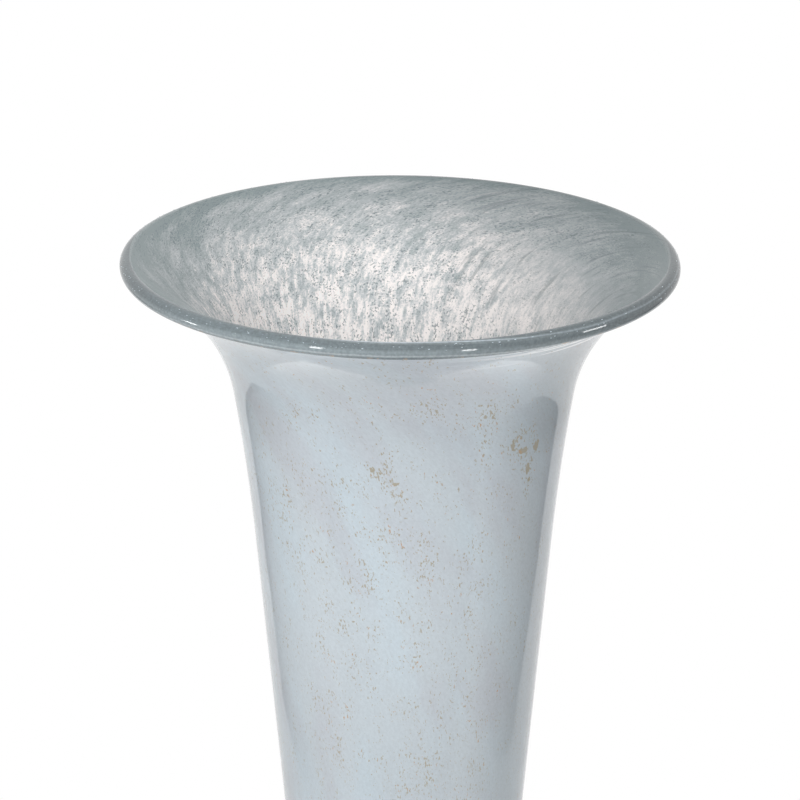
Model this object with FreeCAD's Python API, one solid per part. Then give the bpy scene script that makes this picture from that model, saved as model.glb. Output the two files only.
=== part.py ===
"""A tall footed trumpet vase of hand-blown, cased glass, standing on its foot with its axis on Z.

The wall is four coats of glass, one inside another. From the outside in they are a clear casing, an
opaque pale blue colour coat, a thin coat of grey frit, and a clear crystal lining. All four end at a
rolled lip of smoky glass that folds over the wall's end. Under the heel a flat wafer of glass, the
merese, joins the wall to a clear foot, and soft pads under the foot keep it off the furniture.
"""

import FreeCAD, Part
import math
import os

Vector = FreeCAD.Vector

# Lengths are in millimetres and angles in degrees. The floor is z = 0.

# The outer line of the wall. Its lean is measured from the vertical.
height = 610.0
rim_radius = 152.5
waist_radius = 44.0
flare_arc_radius = 95.0
taper_arc_radius = 1180.0
flare_end_lean = 66.0
throat_lean = 9.6

# The coats of glass, from the outside in.
casing_thickness = 2.4
colour_thickness = 1.0
frit_thickness = 0.8
crystal_thickness = 2.4

# The rolled lip, and the heel where the blown bubble ends.
lip_bead_radius = 4.6
lip_cove_radius = 3.0
heel_glass_thickness = 16.0
bubble_flat_radius = 12.0

# The merese. Its flat faces are also the seats on the heel and on the foot.
seat_radius = 34.0
merese_height = 9.0

# The foot, from its edge to the hollow under it.
foot_radius = 90.0
foot_edge_thickness = 7.0
foot_slope = 8.0
foot_sweep_radius = 11.0
rest_ring_width = 16.0
kick_height = 4.5
pontil_radius = 13.0
pontil_depth = 1.2

# The pads under the rest ring.
pad_count = 4
pad_radius = 6.0
pad_thickness = 1.6
pad_edge_radius = 0.5


def at(radius, level):
    """A point of the meridian plane, where every outline is drawn."""
    return Vector(radius, 0, level)


def outward(lean):
    """The unit normal, away from the axis, of a wall that leans out by that angle."""
    return at(math.cos(math.radians(lean)), -math.sin(math.radians(lean)))


def on_circle(centre, radius, angle):
    """The point of a circle at that angle above the horizontal."""
    return centre + at(math.cos(math.radians(angle)), math.sin(math.radians(angle))) * radius


def line(start, end):
    return Part.LineSegment(start, end).toShape()


def arc(centre, radius, start_angle, end_angle):
    middle_angle = (start_angle + end_angle) / 2
    points = [on_circle(centre, radius, angle) for angle in (start_angle, middle_angle, end_angle)]
    return Part.Arc(*points).toShape()


def spin(edges):
    """The solid that a closed outline sweeps when it turns round the axis."""
    face = Part.Face(Part.Wire(edges))
    solid = face.revolve(Vector(), Vector(0, 0, 1), 360)
    return solid if solid.Volume > 0 else solid.reversed()


# Levels of the foot and the body, worked out upwards from the floor.
foot_edge_radius = foot_edge_thickness / 2
foot_edge_centre = at(foot_radius - foot_edge_radius, pad_thickness + foot_edge_radius)
foot_slope_start = on_circle(foot_edge_centre, foot_edge_radius, 90 - foot_slope)
sweep_radius_at_axis = seat_radius + foot_sweep_radius
slope_rise = math.tan(math.radians(foot_slope))
slope_level_under_sweep = foot_slope_start.z + (foot_slope_start.x - sweep_radius_at_axis) * slope_rise
foot_top = slope_level_under_sweep + foot_sweep_radius / math.cos(math.radians(foot_slope))
heel_level = foot_top + merese_height

# The outer line of the wall, worked out downwards from the lip. The bead's top runs on from the inside of
# the wall, so the bead hangs over outside.
wall_thickness = casing_thickness + colour_thickness + frit_thickness + crystal_thickness
lip_centre = at(rim_radius - lip_bead_radius, height - lip_bead_radius)
lip_seat = lip_centre + outward(flare_end_lean) * (wall_thickness - lip_bead_radius)
flare_centre = lip_seat + outward(flare_end_lean) * flare_arc_radius
throat = flare_centre - outward(throat_lean) * flare_arc_radius
taper_centre = throat + outward(throat_lean) * taper_arc_radius


def straight_lean():
    """The lean of the line through the heel's corner that runs smoothly into the taper's arc."""
    across = taper_centre - at(waist_radius, heel_level)
    reach = math.hypot(across.x, across.z)
    return math.degrees(math.acos(taper_arc_radius / reach) - math.atan2(across.z, across.x))


lower_lean = straight_lean()


def wall_radius(depth, level):
    """Radius, at a level of the straight taper, of the surface that lies that deep in the wall."""
    corner = at(waist_radius, heel_level) - outward(lower_lean) * depth
    return corner.x + (level - corner.z) * math.tan(math.radians(lower_lean))


def surface(depth, floor_level, flat_radius):
    """One surface of the wall, from the axis out over its floor and up to the lip.

    The corner between the floor and the taper is round, and leaves a flat of the given radius.
    """
    lean = math.radians(lower_lean)
    corner_room = wall_radius(depth, floor_level) - flat_radius
    corner_radius = corner_room * math.cos(lean) / (1 - math.sin(lean))
    corner_centre = at(flat_radius, floor_level + corner_radius)
    corner_end = on_circle(corner_centre, corner_radius, -lower_lean)
    taper_end = taper_centre - outward(lower_lean) * (taper_arc_radius + depth)
    return [
        line(at(0, floor_level), at(flat_radius, floor_level)),
        arc(corner_centre, corner_radius, -90, -lower_lean),
        line(corner_end, taper_end),
        arc(taper_centre, taper_arc_radius + depth, 180 - lower_lean, 180 - throat_lean),
        arc(flare_centre, flare_arc_radius + depth, 180 - throat_lean, 180 - flare_end_lean),
    ]


def coat(outer, inner):
    """One coat of glass, from its floor on the axis up to the end that meets the lip.

    Its outer and its inner surface are each given as a depth, a floor level and a flat radius.
    """
    outer_depth, outer_floor_level, _ = outer
    inner_depth, inner_floor_level, _ = inner
    normal = outward(flare_end_lean)
    return spin([
        line(at(0, inner_floor_level), at(0, outer_floor_level)),
        *surface(*outer),
        line(lip_seat - normal * outer_depth, lip_seat - normal * inner_depth),
        *reversed(surface(*inner)),
    ])


def wall_coats():
    """The four coats of the wall. Above the casing's thick heel, each keeps its own thickness."""
    coats = {}
    outer = (0, heel_level, seat_radius)
    depth = 0
    floor_level = heel_level + heel_glass_thickness - casing_thickness
    for name, thickness in (
        ("outer_casing", casing_thickness),
        ("colour_coat", colour_thickness),
        ("frit_coat", frit_thickness),
        ("crystal_lining", crystal_thickness),
    ):
        depth += thickness
        floor_level += thickness
        inner = (depth, floor_level, bubble_flat_radius)
        coats[name] = coat(outer, inner)
        outer = inner
    return coats


def lip_wrap():
    """The rolled bead that closes the wall's end. A hollow cove eases its overhang into the casing."""
    seat_angle = 180 - flare_end_lean
    # The cove's arc touches both the bead and the outside of the wall, so its centre is the third
    # corner of a triangle with the centres of the bead and of the flare.
    bead_distance = flare_arc_radius + wall_thickness - lip_bead_radius
    cove_distance = flare_arc_radius - lip_cove_radius
    centres_apart = lip_bead_radius + lip_cove_radius
    cosine = (cove_distance**2 + bead_distance**2 - centres_apart**2) / (2 * cove_distance * bead_distance)
    cove_angle = seat_angle + math.degrees(math.acos(cosine))
    cove_centre = on_circle(flare_centre, cove_distance, cove_angle)
    from_bead = cove_centre - lip_centre
    bead_end_angle = math.degrees(math.atan2(from_bead.z, from_bead.x))
    return spin([
        line(on_circle(lip_centre, lip_bead_radius, seat_angle), lip_seat),
        arc(flare_centre, flare_arc_radius, seat_angle, cove_angle),
        arc(cove_centre, lip_cove_radius, cove_angle, bead_end_angle + 180),
        arc(lip_centre, lip_bead_radius, bead_end_angle, seat_angle),
    ])


def merese():
    """The wafer between heel and foot, with a full round edge."""
    edge_radius = merese_height / 2
    edge_centre = at(seat_radius, foot_top + edge_radius)
    return spin([
        line(at(0, foot_top), at(seat_radius, foot_top)),
        arc(edge_centre, edge_radius, -90, 90),
        line(at(seat_radius, heel_level), at(0, heel_level)),
        line(at(0, heel_level), at(0, foot_top)),
    ])


def dome(radius, level, rise):
    """Centre and radius of the sphere through a ring on that level and a top so much higher."""
    sphere_radius = (radius**2 + rise**2) / (2 * rise)
    return at(0, level + rise - sphere_radius), sphere_radius


def angle_at(radius, sphere_radius):
    """The angle above the horizontal at which a sphere has that radius from the axis."""
    return math.degrees(math.acos(radius / sphere_radius))


def foot():
    """A low spreading foot with a round edge and a flat rest ring. It is hollow underneath.

    Where the pontil broke off, a small polished dish is ground into the top of the hollow.
    """
    sweep_centre = at(sweep_radius_at_axis, foot_top)
    sweep_end = on_circle(sweep_centre, foot_sweep_radius, 270 - foot_slope)
    ring_inner = at(foot_edge_centre.x - rest_ring_width, pad_thickness)
    kick_centre, kick_radius = dome(ring_inner.x, ring_inner.z, kick_height)
    kick_start_angle = angle_at(ring_inner.x, kick_radius)
    kick_end_angle = angle_at(pontil_radius, kick_radius)
    pontil_edge = on_circle(kick_centre, kick_radius, kick_end_angle)
    dish_centre, dish_radius = dome(pontil_edge.x, pontil_edge.z, pontil_depth)
    return spin([
        line(at(0, foot_top), at(seat_radius, foot_top)),
        arc(sweep_centre, foot_sweep_radius, 180, 270 - foot_slope),
        line(sweep_end, foot_slope_start),
        arc(foot_edge_centre, foot_edge_radius, 90 - foot_slope, -90),
        line(at(foot_edge_centre.x, pad_thickness), ring_inner),
        arc(kick_centre, kick_radius, kick_start_angle, kick_end_angle),
        arc(dish_centre, dish_radius, angle_at(pontil_radius, dish_radius), 90),
        line(on_circle(dish_centre, dish_radius, 90), at(0, foot_top)),
    ])


def pads():
    """Soft pads, evenly spaced on the middle of the rest ring."""
    ring_middle = foot_edge_centre.x - rest_ring_width / 2
    pad = Part.makeCylinder(pad_radius, pad_thickness)
    lower_edge = [edge for edge in pad.Edges if edge.BoundBox.ZMax < pad_thickness / 2]
    pad = pad.makeFillet(pad_edge_radius, lower_edge)
    pad.translate(Vector(ring_middle, 0, 0))
    turned = []
    for index in range(pad_count):
        copy = pad.copy()
        copy.rotate(Vector(), Vector(0, 0, 1), 360 * index / pad_count)
        turned.append(copy)
    return Part.makeCompound(turned)


def main():
    nodes = wall_coats()
    nodes["lip_wrap"] = lip_wrap()
    nodes["merese"] = merese()
    nodes["foot"] = foot()
    nodes["foot_pads"] = pads()
    os.makedirs("parts", exist_ok=True)
    for name, shape in nodes.items():
        shape.exportStep(f"parts/{name}.step")
        print(name, "solids", len(shape.Solids), "valid", shape.isValid(), "mm3", round(shape.Volume))


main()
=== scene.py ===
"""A footed trumpet vase of hand-blown, cased glass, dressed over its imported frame.

Every piece of glass is turned from its half outline by one Geometry Nodes tree. The outlines are worked
out the way the frame's were, so each piece lies where the frame's own piece does. What the photograph
shows in the glass, such as streaks, flecks and seed bubbles, is in the materials and in small pieces.
"""

import functools
import math

import bpy
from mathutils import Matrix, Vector


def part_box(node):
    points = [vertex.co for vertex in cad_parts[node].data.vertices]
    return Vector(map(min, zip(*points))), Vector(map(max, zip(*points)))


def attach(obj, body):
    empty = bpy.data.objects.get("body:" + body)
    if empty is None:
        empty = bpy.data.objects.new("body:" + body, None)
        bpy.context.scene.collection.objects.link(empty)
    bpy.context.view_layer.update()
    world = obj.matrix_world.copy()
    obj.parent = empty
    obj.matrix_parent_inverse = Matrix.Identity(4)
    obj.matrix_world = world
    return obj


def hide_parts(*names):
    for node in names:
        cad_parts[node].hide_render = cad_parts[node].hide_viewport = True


bl_info = {
    "name": "Trumpet Vase",
    "version": (1, 0, 0),
    "blender": (4, 5, 0),
    "location": "3D View > Sidebar > Vase",
    "description": "Builds the visible glass of a footed trumpet vase and its studio",
    "category": "Object",
}

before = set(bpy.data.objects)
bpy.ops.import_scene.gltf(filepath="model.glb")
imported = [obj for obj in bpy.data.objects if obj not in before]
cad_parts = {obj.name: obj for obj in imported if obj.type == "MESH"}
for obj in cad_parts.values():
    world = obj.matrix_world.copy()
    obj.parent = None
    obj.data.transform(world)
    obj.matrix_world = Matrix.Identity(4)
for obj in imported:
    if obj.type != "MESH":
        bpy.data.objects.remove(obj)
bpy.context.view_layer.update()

MM = 0.001
WHITE = (1.0, 1.0, 1.0)
MATH = "ShaderNodeMath"
VECTOR_MATH = "ShaderNodeVectorMath"

# Faces of two pieces that meet at an angle above this stay sharp.
SHARP_ANGLE = math.radians(38)

# How far pieces reach into each other where they meet, so that no gap shows.
GLASS_SINK = 0.05 * MM
LIP_SINK = 0.2 * MM
WALL_SINK = 0.4 * MM

# Points closer than these are one point: along an outline, and in a turned mesh.
SAME_POINT = 0.005 * MM
WELD_REACH = 0.002 * MM

# Shares of the height between which the body goes off its axis, comes back to it, and the rim sags.
LEAN_STARTS, LEAN_FULL = 0.06, 0.45
LEAN_HOLDS, LEAN_ENDS = 0.93, 1.0
SAG_STARTS, SAG_FULL = 0.84, 1.0

# The slow noise of the uneven radius: how fast it changes round the axis, and how much faster up it.
UNEVEN_SCALE = 0.8
UNEVEN_CLIMB = 8.0

# How far the heel's straight side reaches down from its top, and the round edge of a pad.
HEEL_SIDE = 20 * MM
PAD_EDGE = 0.5 * MM

# The shortest seed bubble and how wide one is, as shares of the longest and of its own length.
SEED_SHORTEST, SEED_SLIMNESS = 0.35, 0.4

# The pull of the glass: its pattern is as wide as on a body of this radius, and turns with this power.
BODY_GIRTH = 80 * MM
PULL_POWER = 4.0

# The turns round the lip's bead, in degrees, that its colour ramp covers.
LIP_TURNS = (-80.0, 120.0)

# The studio, in metres: the floor keeps its shade up to the first distance and is plain white from the
# second. The strengths are the floor's own glow and the room's light. The rest is in millimetres.
SHADE_ENDS, PLAIN_FROM = 0.22, 0.62
FLOOR_GLOW, ROOM_LIGHT = 0.33, 0.12
FLOOR_REACH = 30000
TABLE_EDGE = -413

LAMP_TARGET = Vector((0, 0, 0.5))
CAMERA_PLACE = (0, -2.3788, 1.3736)
CAMERA_TILT = math.radians(19.63)
CAMERA_LENS = 207.0


def linear(code):
    """Turns an sRGB hex code into the linear colour that Blender works in."""
    channels = [int(code[place:place + 2], 16) / 255 for place in (1, 3, 5)]
    return tuple(c / 12.92 if c <= 0.04045 else ((c + 0.055) / 1.055) ** 2.4 for c in channels)


def length(name, description, size):
    """A length in millimetres, kept in metres."""
    return bpy.props.FloatProperty(
        name=name, description=description, default=size * MM, unit="LENGTH", precision=4
    )


def angle(name, description, degrees):
    return bpy.props.FloatProperty(
        name=name, description=description, default=math.radians(degrees), subtype="ANGLE"
    )


def count(name, description, number):
    return bpy.props.IntProperty(name=name, description=description, default=number, min=1)


def colour(name, description, code):
    return bpy.props.FloatVectorProperty(
        name=name, description=description, default=linear(code), subtype="COLOR", min=0, max=1
    )


class VaseSizes(bpy.types.PropertyGroup):
    """Sizes of the glass. They are the frame's, and change together with it."""

    height: length("Height", "Height of the vase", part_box("lip_wrap")[1].z / MM)
    rim_radius: length("Rim radius", "Outer radius of the lip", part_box("lip_wrap")[1].x / MM)
    waist_radius: length("Waist radius", "Radius where the straight taper meets the heel", 44)
    flare_arc_radius: length("Flare arc", "Radius of the arc that opens the mouth", 95)
    taper_arc_radius: length("Taper arc", "Radius of the long arc above the straight taper", 1180)
    flare_end_lean: angle("Lean at the lip", "Lean of the wall from the vertical at the lip", 66)
    throat_lean: angle("Lean at the throat", "Lean of the wall where the flare begins", 9.6)
    casing: length("Casing", "Thickness of the clear outer casing", 2.4)
    colour_coat: length("Colour coat", "Thickness of the opaque colour coat", 1)
    frit_coat: length("Frit coat", "Thickness of the frit coat", 0.8)
    crystal: length("Crystal lining", "Thickness of the clear lining", 2.4)
    lip_bead_radius: length("Lip bead", "Radius of the rolled bead of the lip", 4.6)
    lip_cove_radius: length("Lip cove", "Radius of the hollow between bead and outside", 3)
    heel_level: length("Heel level", "Height of the heel's flat bottom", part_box("outer_casing")[0].z / MM)
    heel_glass: length("Heel glass", "Thickness of the glass under the bubble", 16)
    bubble_flat_radius: length("Bubble flat", "Radius of the bubble's flat floor", 12)
    seat_radius: length("Seat radius", "Radius of the flat faces of the merese", 34)
    foot_radius: length("Foot radius", "Radius of the foot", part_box("foot")[1].x / MM)
    foot_edge_thickness: length("Foot edge", "Thickness of the foot's round edge", 7)
    foot_slope: angle("Foot slope", "Slope of the foot's top", 8)
    foot_sweep_radius: length("Foot sweep", "Radius of the sweep up to the merese", 11)
    rest_ring_width: length("Rest ring", "Width of the ground ring under the foot", 16)
    kick_height: length("Kick height", "Depth of the hollow under the foot", 4.5)
    pontil_radius: length("Pontil radius", "Radius of the polished pontil mark", 13)
    pontil_depth: length("Pontil depth", "Depth of the polished pontil mark", 1.2)
    pad_count: count("Pads", "Number of soft pads", 4)
    pad_radius: length("Pad radius", "Radius of a pad", 6)
    pad_thickness: length("Pad thickness", "Thickness of a pad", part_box("foot_pads")[1].z / MM)
    rim_dip: length("Rim dip", "How far the rim hangs lower on its right side", 1.8)
    lean: length("Lean", "How far the body stands off its axis half-way up", 2.1)
    unevenness: bpy.props.FloatProperty(
        name="Unevenness", description="Share of the radius by which blown glass is out of round",
        default=0.004, min=0, max=0.02, subtype="FACTOR"
    )
    segments: count("Segments", "Faces round the wall", 320)


class VaseColours(bpy.types.PropertyGroup):
    """Colours of the glass, as they look in plain light."""

    opal: colour("Opal", "Pale blue-grey of the body", "#c7d0d6")
    opal_blue: colour("Blue streaks", "Bluer streaks in the body", "#c8d5dd")
    opal_lavender: colour("Lavender clouds", "Greyer clouds in the body", "#c2c7ce")
    fleck: colour("Flecks", "Tan flecks in the body", "#a9a18d")
    fleck_warm: colour("Warm flecks", "The few orange flecks", "#c09a70")
    frit_rim: colour("Frit at the rim", "Grey-green of the inside near the rim", "#8b9799")
    frit_grey: colour("Grey frit", "Middle grey of the inside", "#b9bec0")
    frit_white: colour("White frit", "Pinkish white streaks of the inside", "#f2edeb")
    speck: colour("Specks", "Dark specks of the inside", "#68767a")
    smoke: colour("Lip smoke", "Smoky grey of the lip", "#717c80")
    # Lip light and Lip line are partly the paler glass and partly painted light; Lip light also fills the
    # painted band round the crest highlight.
    smoke_light: colour("Lip light", "Paler glass on the lower half of the lip", "#8e999d")
    smoke_line: colour("Lip line", "Thin light line under the lip", "#b4bdc1")
    # Painted highlight: the bluish line on the lip's crest, also the shine on its seed bubbles.
    lip_highlight: colour("Lip crest", "Bluish line along the crest of the lip", "#d3dfe8")
    clear: colour("Clear glass", "Tint of the foot, the merese and the heel", "#edf3f4")
    silicone: colour("Pads", "Milky colour of the pads", "#d9dcda")
    dust: colour("Dust", "Dust on the pads", "#bdbfb9")


def at(radius, level):
    """A point of the half plane in which every outline is drawn."""
    return Vector((radius, level))


def outward(lean):
    """The unit normal, away from the axis, of a wall that leans out by that angle."""
    return at(math.cos(lean), -math.sin(lean))


def on_circle(centre, radius, turn):
    return centre + at(math.cos(turn), math.sin(turn)) * radius


def arc(centre, radius, start, end, steps):
    """Points along an arc, both its ends included."""
    return [on_circle(centre, radius, start + (end - start) * step / steps) for step in range(steps + 1)]


def run(start, end, steps=1):
    """Points along a straight line, both its ends included."""
    return [start.lerp(end, step / steps) for step in range(steps + 1)]


def joined(*lines):
    """One line of points from several that meet, without the doubled points."""
    points = []
    for line in lines:
        for point in line:
            if not points or (point - points[-1]).length > SAME_POINT:
                points.append(point)
    return points


def closed(*lines):
    points = joined(*lines)
    return points + [points[0]]


class Outline:
    """The vase's half outline, worked out from its sizes."""

    def __init__(self, sizes):
        self.sizes = sizes
        self.wall = sizes.casing + sizes.colour_coat + sizes.frit_coat + sizes.crystal
        self.lip_centre = at(sizes.rim_radius - sizes.lip_bead_radius, sizes.height - sizes.lip_bead_radius)
        lip_normal = outward(sizes.flare_end_lean)
        self.lip_seat = self.lip_centre + lip_normal * (self.wall - sizes.lip_bead_radius)
        self.flare_centre = self.lip_seat + lip_normal * sizes.flare_arc_radius
        throat = self.flare_centre - outward(sizes.throat_lean) * sizes.flare_arc_radius
        self.taper_centre = throat + outward(sizes.throat_lean) * sizes.taper_arc_radius
        across = self.taper_centre - at(sizes.waist_radius, sizes.heel_level)
        self.lower_lean = math.acos(sizes.taper_arc_radius / across.length) - math.atan2(across.y, across.x)

    def taper_radius(self, depth, level):
        """Radius, at a level of the straight taper, of the surface that lies that deep in the wall."""
        corner = at(self.sizes.waist_radius, self.sizes.heel_level) - outward(self.lower_lean) * depth
        return corner.x + (level - corner.y) * math.tan(self.lower_lean)

    def flank(self, depth, start_level):
        """One surface of the wall, from a level of its straight taper up to the lip."""
        sizes = self.sizes
        start = at(self.taper_radius(depth, start_level), start_level)
        taper_end = self.taper_centre - outward(self.lower_lean) * (sizes.taper_arc_radius + depth)
        return joined(
            run(start, taper_end, 40),
            arc(self.taper_centre, sizes.taper_arc_radius + depth,
                math.pi - self.lower_lean, math.pi - sizes.throat_lean, 14),
            arc(self.flare_centre, sizes.flare_arc_radius + depth,
                math.pi - sizes.throat_lean, math.pi - sizes.flare_end_lean, 48),
        )

    def corner(self, depth, floor_level, flat_radius):
        """Centre and radius of the round corner between a floor and the taper."""
        room = self.taper_radius(depth, floor_level) - flat_radius
        radius = room * math.cos(self.lower_lean) / (1 - math.sin(self.lower_lean))
        return at(flat_radius, floor_level + radius), radius

    def cup(self, depth, floor_level, flat_radius):
        """The lower end of a surface, from the axis over the floor to the end of its round corner."""
        centre, radius = self.corner(depth, floor_level, flat_radius)
        return joined(
            run(at(0, floor_level), at(flat_radius, floor_level), 3),
            arc(centre, radius, -math.pi / 2, -self.lower_lean, 18),
        )

    def surface(self, depth):
        """A whole surface inside the wall, from the axis out over its floor and up to the lip."""
        cup = self.cup(depth, self.bubble_floor(depth), self.sizes.bubble_flat_radius)
        return joined(cup, self.flank(depth, cup[-1].y))

    def bubble_floor(self, depth):
        """Level of a coat's floor inside the heel, for the surface that lies that deep in the wall."""
        return self.sizes.heel_level + self.sizes.heel_glass - self.sizes.casing + depth


def add_node(tree, kind, inputs=(), **settings):
    """Adds one node. Its inputs are given by name or in order, as constants, sockets or nodes."""
    node = tree.nodes.new(kind)
    for name, value in settings.items():
        setattr(node, name, value)
    sockets = [socket for socket in node.inputs if socket.enabled]
    for key, value in inputs.items() if isinstance(inputs, dict) else enumerate(inputs):
        socket = sockets[key] if isinstance(key, int) else next(s for s in sockets if s.name == key)
        if isinstance(value, bpy.types.Node):
            value = next(output for output in value.outputs if output.enabled)
        if isinstance(value, bpy.types.NodeSocket):
            tree.links.new(value, socket)
        else:
            socket.default_value = value
    return node


def amount(*parts):
    """How much of something there is: its parts, multiplied together.

    A part is a value, or a value with two measures of it and how much there is at each of them, 0 and
    1 unless that is given. The amount goes smoothly from the one to the other.
    """
    result = None
    for part in parts:
        if isinstance(part, tuple):
            value, low, high, at_low, at_high = (*part, 0.0, 1.0)[:5]
            part = add_node(value.id_data, "ShaderNodeMapRange", {
                "Value": value, "From Min": low, "From Max": high, "To Min": at_low, "To Max": at_high,
            }, interpolation_type="SMOOTHSTEP").outputs["Result"]
        if result is None:
            result = part
        else:
            result = add_node(result.id_data, MATH, [result, part], operation="MULTIPLY")
    return result


def new_tree(name, inputs):
    """A Geometry Nodes tree with the named inputs and one geometry output."""
    tree = bpy.data.node_groups.new(name, "GeometryNodeTree")
    for label, kind in inputs.items():
        tree.interface.new_socket(label, in_out="INPUT", socket_type="NodeSocket" + kind)
    tree.interface.new_socket("Geometry", in_out="OUTPUT", socket_type="NodeSocketGeometry")
    return tree, tree.nodes.new("NodeGroupInput").outputs, functools.partial(add_node, tree)


def finish(tree, geometry, material):
    """Ends a tree with real geometry instead of instances and its material, and returns it."""
    real = add_node(tree, "GeometryNodeRealizeInstances", {"Geometry": geometry})
    painted = add_node(tree, "GeometryNodeSetMaterial", {"Geometry": real, "Material": material})
    add_node(tree, "NodeGroupOutput", [painted])
    return tree


def lathe_tree():
    """Turns a half outline round the axis. The result is a little uneven, as blown glass is.

    The unevenness draws the surface inwards only, so that it stays within the true outline.
    """
    tree, given, add = new_tree("Lathe", {
        "Outline": "Geometry", "Segments": "Int", "Unevenness": "Float",
        "Lean": "Float", "Rim Dip": "Float", "Height": "Float", "Material": "Material",
    })
    rows = add("GeometryNodeAttributeDomainSize", [given["Outline"]]).outputs["Point Count"]
    columns = add(MATH, [given["Segments"], 1.0], operation="ADD")
    grid = add("GeometryNodeMeshGrid", {"Vertices X": columns, "Vertices Y": rows})
    index = add("GeometryNodeInputIndex")
    row = add("FunctionNodeIntegerMath", [index, rows], operation="MODULO")
    column = add("FunctionNodeIntegerMath", [index, rows], operation="DIVIDE_FLOOR")
    place = add("GeometryNodeInputPosition")
    point = add("GeometryNodeSampleIndex", {
        "Geometry": given["Outline"], "Value": place, "Index": row}, data_type="FLOAT_VECTOR")
    profile = add("GeometryNodeInputNamedAttribute", {"Name": "profile"}, data_type="FLOAT")
    profile_here = add("GeometryNodeSampleIndex", {
        "Geometry": given["Outline"], "Value": profile, "Index": row}, data_type="FLOAT")
    part_turn = add(MATH, [column, given["Segments"]], operation="DIVIDE")
    turn = amount(part_turn, math.tau)
    turned = add("ShaderNodeVectorRotate", {"Vector": point, "Angle": turn}, rotation_type="Z_AXIS")

    # Out of round: a slow noise, read round the axis and up it, takes a small share off the radius.
    east = add(MATH, [turn], operation="COSINE")
    north = add(MATH, [turn], operation="SINE")
    level = add("ShaderNodeSeparateXYZ", [point]).outputs["Z"]
    read_at = add("ShaderNodeCombineXYZ", [east, north, amount(level, UNEVEN_CLIMB)])
    noise = add("ShaderNodeTexNoise", {"Vector": read_at, "Scale": UNEVEN_SCALE, "Detail": 1.0})
    loss = amount(noise.outputs["Fac"], given["Unevenness"])
    left = add(MATH, [1.0, loss], operation="SUBTRACT")
    shrink = add("ShaderNodeCombineXYZ", [left, left, 1.0])
    shrunk = add(VECTOR_MATH, [turned, shrink], operation="MULTIPLY")

    # The body stands a little off its axis half-way up, and comes back to it at the foot and the rim.
    height_share = add(MATH, [level, given["Height"]], operation="DIVIDE")
    lean = amount(
        (height_share, LEAN_STARTS, LEAN_FULL), (height_share, LEAN_ENDS, LEAN_HOLDS), given["Lean"])

    # The rim hangs lower on its right side. Only the flare bends for it.
    right = add(MATH, [east, 0.5, 0.5], operation="MULTIPLY_ADD")
    dip = amount((height_share, SAG_STARTS, SAG_FULL), right, given["Rim Dip"])
    fall = add(MATH, [0.0, dip], operation="SUBTRACT")
    shift = add("ShaderNodeCombineXYZ", [lean, 0.0, fall])
    final = add(VECTOR_MATH, [shrunk, shift], operation="ADD")

    shaped = add("GeometryNodeSetPosition", {"Geometry": grid.outputs["Mesh"], "Position": final})
    marked = add("GeometryNodeStoreNamedAttribute", {
        "Geometry": shaped, "Name": "profile", "Value": profile_here}, data_type="FLOAT", domain="POINT")
    welded = add("GeometryNodeMergeByDistance", {"Geometry": marked, "Distance": WELD_REACH})
    smooth = add("GeometryNodeSetShadeSmooth", {"Geometry": welded})
    return finish(tree, smooth, given["Material"])


def ring_tree():
    """Copies a piece evenly round a circle."""
    tree, given, add = new_tree("Ring Of Copies", {
        "Piece": "Geometry", "Count": "Int", "Radius": "Float", "Material": "Material",
    })
    ring = add("GeometryNodeMeshCircle", {"Vertices": given["Count"], "Radius": given["Radius"]})
    copies = add("GeometryNodeInstanceOnPoints", {"Points": ring, "Instance": given["Piece"]})
    return finish(tree, copies, given["Material"])


def seeds_tree():
    """Scatters long seed bubbles over a strip of the lip, lying along it."""
    tree, given, add = new_tree("Lip Seeds", {
        "Lip": "Geometry", "Density": "Float", "Seed": "Int", "Length": "Float", "Lowest": "Float",
        "Highest": "Float", "Depth": "Float", "Material": "Material",
    })
    profile = add("GeometryNodeInputNamedAttribute", {"Name": "profile"}, data_type="FLOAT")
    high = add("FunctionNodeCompare", {"A": profile, "B": given["Lowest"]}, operation="GREATER_THAN")
    low = add("FunctionNodeCompare", {"A": profile, "B": given["Highest"]}, operation="LESS_THAN")
    strip = add("FunctionNodeBooleanMath", [high, low], operation="AND")
    points = add("GeometryNodeDistributePointsOnFaces", {
        "Mesh": given["Lip"], "Selection": strip, "Density": given["Density"], "Seed": given["Seed"]})
    place = add("GeometryNodeInputPosition")
    along = add(VECTOR_MATH, [place, (0.0, 0.0, 1.0)], operation="CROSS_PRODUCT")
    upright = add("FunctionNodeAlignRotationToVector", {"Vector": points.outputs["Normal"]}, axis="Z")
    lying = add("FunctionNodeAlignRotationToVector", {
        "Rotation": upright, "Vector": along}, axis="X", pivot_axis="Z")
    ball = add("GeometryNodeMeshIcoSphere", {"Radius": 0.5, "Subdivisions": 2})
    size = add("FunctionNodeRandomValue", {
        "Min": SEED_SHORTEST, "Max": 1.0, "Seed": given["Seed"]}, data_type="FLOAT")
    reach = amount(size.outputs[1], given["Length"])
    width = amount(reach, SEED_SLIMNESS)
    shape = add("ShaderNodeCombineXYZ", [reach, width, width])
    bubbles = add("GeometryNodeInstanceOnPoints", {
        "Points": points, "Instance": ball, "Rotation": lying, "Scale": shape})
    sunk = add("ShaderNodeCombineXYZ", [0.0, 0.0, given["Depth"]])
    settled = add("GeometryNodeTranslateInstances", {
        "Instances": bubbles, "Translation": sunk, "Local Space": True})
    return finish(tree, settled, given["Material"])


def shared_tree(name, maker):
    """The tree of that name, which is made when it is first asked for."""
    return bpy.data.node_groups.get(name) or maker()


def outline_mesh(name, points, profile=None):
    """The outline as a mesh of points joined by edges, each with the value that its material reads."""
    mesh = bpy.data.meshes.new(name)
    edges = [(place, place + 1) for place in range(len(points) - 1)]
    mesh.from_pydata([(max(point.x, 0), 0, point.y) for point in points], edges, [])
    values = mesh.attributes.new("profile", "FLOAT", "POINT")
    values.data.foreach_set("value", profile or [0.0] * len(points))
    return mesh


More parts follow.
